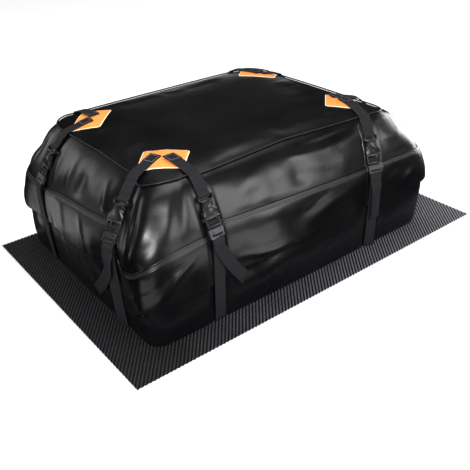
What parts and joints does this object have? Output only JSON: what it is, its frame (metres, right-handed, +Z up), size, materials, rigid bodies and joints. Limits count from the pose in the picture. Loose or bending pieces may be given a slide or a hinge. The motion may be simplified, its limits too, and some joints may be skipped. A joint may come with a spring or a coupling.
{
  "type": "roof cargo bag",
  "caption": "Soft, stuffed rooftop luggage bag on a ribbed anti-slip mat, with a covered zip, corner patches, and webbing straps that close with side-release buckles.",
  "frame": {"origin": "on the mat's underside, straight below the middle of the bag's base", "axes": "+X along the bag's long side, +Y from the front long face to the back long face, +Z up"},
  "size_m": [1.432, 0.9705, 0.4671],
  "materials": {
    "mat_foam": "matte",
    "coated_fabric": "semi-gloss",
    "flap_fabric": "semi-gloss",
    "piping": "semi-gloss",
    "webbing": "matte",
    "moulded_plastic": "satin",
    "patch_fabric": "satin",
    "zip_tape": "matte",
    "zip_metal": "satin"
  },
  "bodies": {
    "bag": {"roof_mat": "mat_foam", "bag_body": "coated_fabric", "storm_flap": "flap_fabric", "zip_chain": "zip_tape", "top_piping": "piping", "patch_front_left": "patch_fabric", "patch_front_right": "patch_fabric", "patch_back_right": "patch_fabric", "patch_back_left": "patch_fabric", "upper_strap_front_left": "webbing", "upper_strap_front_right": "webbing", "upper_strap_right_front": "webbing", "upper_strap_right_back": "webbing", "upper_strap_back_right": "webbing", "upper_strap_back_left": "webbing", "upper_strap_left_back": "webbing", "upper_strap_left_front": "webbing", "buckle_socket_front_left": "moulded_plastic", "buckle_socket_front_right": "moulded_plastic", "buckle_socket_right_front": "moulded_plastic", "buckle_socket_right_back": "moulded_plastic", "buckle_socket_back_right": "moulded_plastic", "buckle_socket_back_left": "moulded_plastic", "buckle_socket_left_back": "moulded_plastic", "buckle_socket_left_front": "moulded_plastic", "lower_strap_front_left": "webbing", "lower_strap_front_right": "webbing", "lower_strap_right_front": "webbing", "lower_strap_right_back": "webbing", "lower_strap_back_right": "webbing", "lower_strap_back_left": "webbing", "lower_strap_left_back": "webbing", "lower_strap_left_front": "webbing"},
    "plug_front_left": {"buckle_plug_front_left": "moulded_plastic"},
    "keeper_front_left": {"strap_keeper_front_left": "moulded_plastic"},
    "plug_front_right": {"buckle_plug_front_right": "moulded_plastic"},
    "keeper_front_right": {"strap_keeper_front_right": "moulded_plastic"},
    "plug_right_front": {"buckle_plug_right_front": "moulded_plastic"},
    "keeper_right_front": {"strap_keeper_right_front": "moulded_plastic"},
    "plug_right_back": {"buckle_plug_right_back": "moulded_plastic"},
    "keeper_right_back": {"strap_keeper_right_back": "moulded_plastic"},
    "plug_back_right": {"buckle_plug_back_right": "moulded_plastic"},
    "keeper_back_right": {"strap_keeper_back_right": "moulded_plastic"},
    "plug_back_left": {"buckle_plug_back_left": "moulded_plastic"},
    "keeper_back_left": {"strap_keeper_back_left": "moulded_plastic"},
    "plug_left_back": {"buckle_plug_left_back": "moulded_plastic"},
    "keeper_left_back": {"strap_keeper_left_back": "moulded_plastic"},
    "plug_left_front": {"buckle_plug_left_front": "moulded_plastic"},
    "keeper_left_front": {"strap_keeper_left_front": "moulded_plastic"},
    "zip_slider_left": {"zip_slider_left": "zip_metal"},
    "zip_slider_right": {"zip_slider_right": "zip_metal"}
  },
  "joints": [
    {"name": "plug_front_left_slide", "type": "slide", "parent": "bag", "child": "plug_front_left", "axis": [0.0125, -0.4274, -0.904], "range_m": [0, 0.042], "deforming": ["lower_strap_front_left"]},
    {"name": "plug_front_right_slide", "type": "slide", "parent": "bag", "child": "plug_front_right", "axis": [-0.1278, -0.4074, -0.9043], "range_m": [0, 0.042], "deforming": ["lower_strap_front_right"]},
    {"name": "plug_right_front_slide", "type": "slide", "parent": "bag", "child": "plug_right_front", "axis": [0.5705, -0.2124, -0.7934], "range_m": [0, 0.042], "deforming": ["lower_strap_right_front"]},
    {"name": "plug_right_back_slide", "type": "slide", "parent": "bag", "child": "plug_right_back", "axis": [0.5834, 0.0492, -0.8107], "range_m": [0, 0.042], "deforming": ["lower_strap_right_back"]},
    {"name": "plug_back_right_slide", "type": "slide", "parent": "bag", "child": "plug_back_right", "axis": [-0.0742, 0.4032, -0.9121], "range_m": [0, 0.042], "deforming": ["lower_strap_back_right"]},
    {"name": "plug_back_left_slide", "type": "slide", "parent": "bag", "child": "plug_back_left", "axis": [0.0117, 0.3995, -0.9166], "range_m": [0, 0.042], "deforming": ["lower_strap_back_left"]},
    {"name": "plug_left_back_slide", "type": "slide", "parent": "bag", "child": "plug_left_back", "axis": [-0.5342, 0.0345, -0.8446], "range_m": [0, 0.042], "deforming": ["lower_strap_left_back"]},
    {"name": "plug_left_front_slide", "type": "slide", "parent": "bag", "child": "plug_left_front", "axis": [-0.5927, -0.2177, -0.7754], "range_m": [0, 0.042], "deforming": ["lower_strap_left_front"]},
    {"name": "keeper_front_left_slide", "type": "slide", "parent": "plug_front_left", "child": "keeper_front_left", "axis": [0.0125, -0.4274, -0.904], "range_m": [0, 0.015], "deforming": ["lower_strap_front_left"]},
    {"name": "keeper_front_right_slide", "type": "slide", "parent": "plug_front_right", "child": "keeper_front_right", "axis": [-0.1278, -0.4074, -0.9043], "range_m": [0, 0.015], "deforming": ["lower_strap_front_right"]},
    {"name": "keeper_right_front_slide", "type": "slide", "parent": "plug_right_front", "child": "keeper_right_front", "axis": [0.5705, -0.2124, -0.7934], "range_m": [0, 0.015], "deforming": ["lower_strap_right_front"]},
    {"name": "keeper_right_back_slide", "type": "slide", "parent": "plug_right_back", "child": "keeper_right_back", "axis": [0.5834, 0.0492, -0.8107], "range_m": [0, 0.015], "deforming": ["lower_strap_right_back"]},
    {"name": "keeper_back_right_slide", "type": "slide", "parent": "plug_back_right", "child": "keeper_back_right", "axis": [-0.0742, 0.4032, -0.9121], "range_m": [0, 0.015], "deforming": ["lower_strap_back_right"]},
    {"name": "keeper_back_left_slide", "type": "slide", "parent": "plug_back_left", "child": "keeper_back_left", "axis": [0.0117, 0.3995, -0.9166], "range_m": [0, 0.015], "deforming": ["lower_strap_back_left"]},
    {"name": "keeper_left_back_slide", "type": "slide", "parent": "plug_left_back", "child": "keeper_left_back", "axis": [-0.5342, 0.0345, -0.8446], "range_m": [0, 0.015], "deforming": ["lower_strap_left_back"]},
    {"name": "keeper_left_front_slide", "type": "slide", "parent": "plug_left_front", "child": "keeper_left_front", "axis": [-0.5927, -0.2177, -0.7754], "range_m": [0, 0.015], "deforming": ["lower_strap_left_front"]},
    {"name": "zip_left_slide", "type": "slide", "parent": "bag", "child": "zip_slider_left", "axis": [-0.9995, 0.0124, 0.0274], "range_m": [0, 0.06]},
    {"name": "zip_right_slide", "type": "slide", "parent": "bag", "child": "zip_slider_right", "axis": [0.9994, -0.0006, -0.0343], "range_m": [0, 0.06]}
  ]
}
